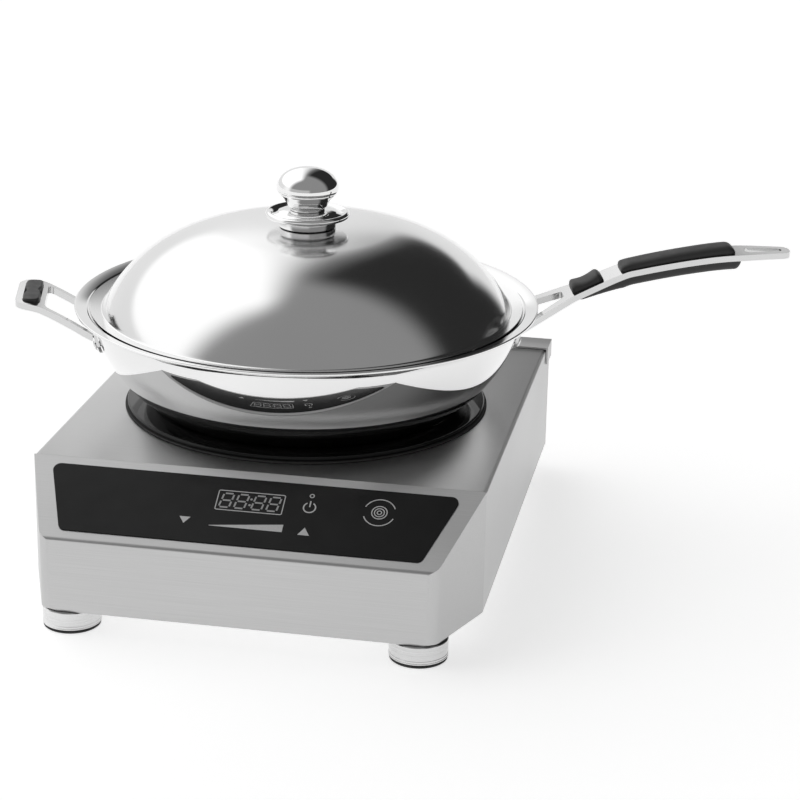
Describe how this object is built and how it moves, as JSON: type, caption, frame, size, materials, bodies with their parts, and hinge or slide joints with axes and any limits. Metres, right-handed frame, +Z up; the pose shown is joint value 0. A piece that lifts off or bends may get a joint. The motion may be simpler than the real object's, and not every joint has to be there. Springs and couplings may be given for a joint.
{
  "type": "induction wok hob",
  "caption": "Counter-top induction hob with a concave glass bowl, sloped touch-key panel, turned feet, and a fitted wok pan with riveted handles and a domed lid.",
  "frame": {"origin": "middle of the bounding box in plan, at the level the feet stand on", "axes": "+X to the right seen from the controls, the side the long handle is on; +Y to the back; +Z up"},
  "size_m": [0.5922, 0.4402, 0.3041],
  "materials": {
    "satin_steel": "satin brushed stainless sheet",
    "turned_steel": "turned stainless, fine rings",
    "mirror_steel": "mirror polished stainless",
    "black_glass": "opaque black ceramic glass, glossy",
    "label_film": "glossy printed film, nearly black",
    "grip_silicone": "soft matt silicone",
    "pad_rubber": "matt black rubber",
    "black_plastic": "moulded, matt",
    "grey_plastic": "moulded, matt",
    "circuit_board": "green solder mask",
    "aluminium": "extruded",
    "copper_litz": "enamelled copper winding",
    "ferrite": "sintered, dull"
  },
  "bodies": {
    "hob": {"top_cover": "satin_steel", "front_panel": "satin_steel", "base_plate": "satin_steel", "rear_cover": "satin_steel", "foot_front_left": "turned_steel", "foot_front_right": "turned_steel", "foot_rear_left": "turned_steel", "foot_rear_right": "turned_steel", "foot_pad_front_left": "pad_rubber", "foot_pad_front_right": "pad_rubber", "foot_pad_rear_left": "pad_rubber", "foot_pad_rear_right": "pad_rubber", "glass_bowl": "black_glass", "bowl_seal": "pad_rubber", "coil_winding": "copper_litz", "coil_carrier": "grey_plastic", "temperature_sensor": "aluminium", "ferrite_bar_1": "ferrite", "ferrite_bar_2": "ferrite", "ferrite_bar_3": "ferrite", "ferrite_bar_4": "ferrite", "control_film": "label_film", "display_module": "black_plastic", "control_board": "circuit_board", "switch_power": "black_plastic", "switch_down": "black_plastic", "switch_up": "black_plastic", "power_board": "circuit_board", "heatsink": "aluminium", "power_transistor": "black_plastic", "bridge_rectifier": "black_plastic", "resonance_capacitor": "grey_plastic", "smoothing_capacitor": "grey_plastic", "filter_choke": "copper_litz", "fan_frame": "black_plastic", "terminal_block": "grey_plastic", "cable_gland": "black_plastic"},
    "wok": {"wok_pan": "mirror_steel", "long_handle": "mirror_steel", "thumb_pad": "grip_silicone", "upper_grip": "grip_silicone", "lower_grip": "grip_silicone", "long_handle_rivet_left": "turned_steel", "long_handle_rivet_right": "turned_steel", "helper_handle": "mirror_steel", "helper_grip": "grip_silicone", "helper_rivet_left": "turned_steel", "helper_rivet_right": "turned_steel"},
    "lid": {"lid_dome": "mirror_steel", "knob_base": "mirror_steel", "knob_flange": "mirror_steel", "knob_ball": "mirror_steel", "knob_screw": "turned_steel"},
    "key_power": {"key_power": "grey_plastic"},
    "key_down": {"key_down": "grey_plastic"},
    "key_up": {"key_up": "grey_plastic"},
    "fan": {"fan_rotor": "black_plastic"}
  },
  "joints": [
    {"name": "wok_lift", "type": "slide", "parent": "hob", "child": "wok", "axis": [0, 0, 1], "range_m": [0, 0.2]},
    {"name": "lid_lift", "type": "slide", "parent": "wok", "child": "lid", "axis": [0, 0, 1], "range_m": [0, 0.15]},
    {"name": "power_key_press", "type": "slide", "parent": "hob", "child": "key_power", "axis": [0, 0.5204, -0.8539], "range_m": [0, 0.0005], "stiffness_N_per_m": 900},
    {"name": "down_key_press", "type": "slide", "parent": "hob", "child": "key_down", "axis": [0, 0.5204, -0.8539], "range_m": [0, 0.0005], "stiffness_N_per_m": 900},
    {"name": "up_key_press", "type": "slide", "parent": "hob", "child": "key_up", "axis": [0, 0.5204, -0.8539], "range_m": [0, 0.0005], "stiffness_N_per_m": 900},
    {"name": "fan_spin", "type": "hinge", "parent": "hob", "child": "fan", "pos_m": [-0.1681, 0.10295, 0.031], "axis": [0, 0, 1], "continuous": true}
  ]
}
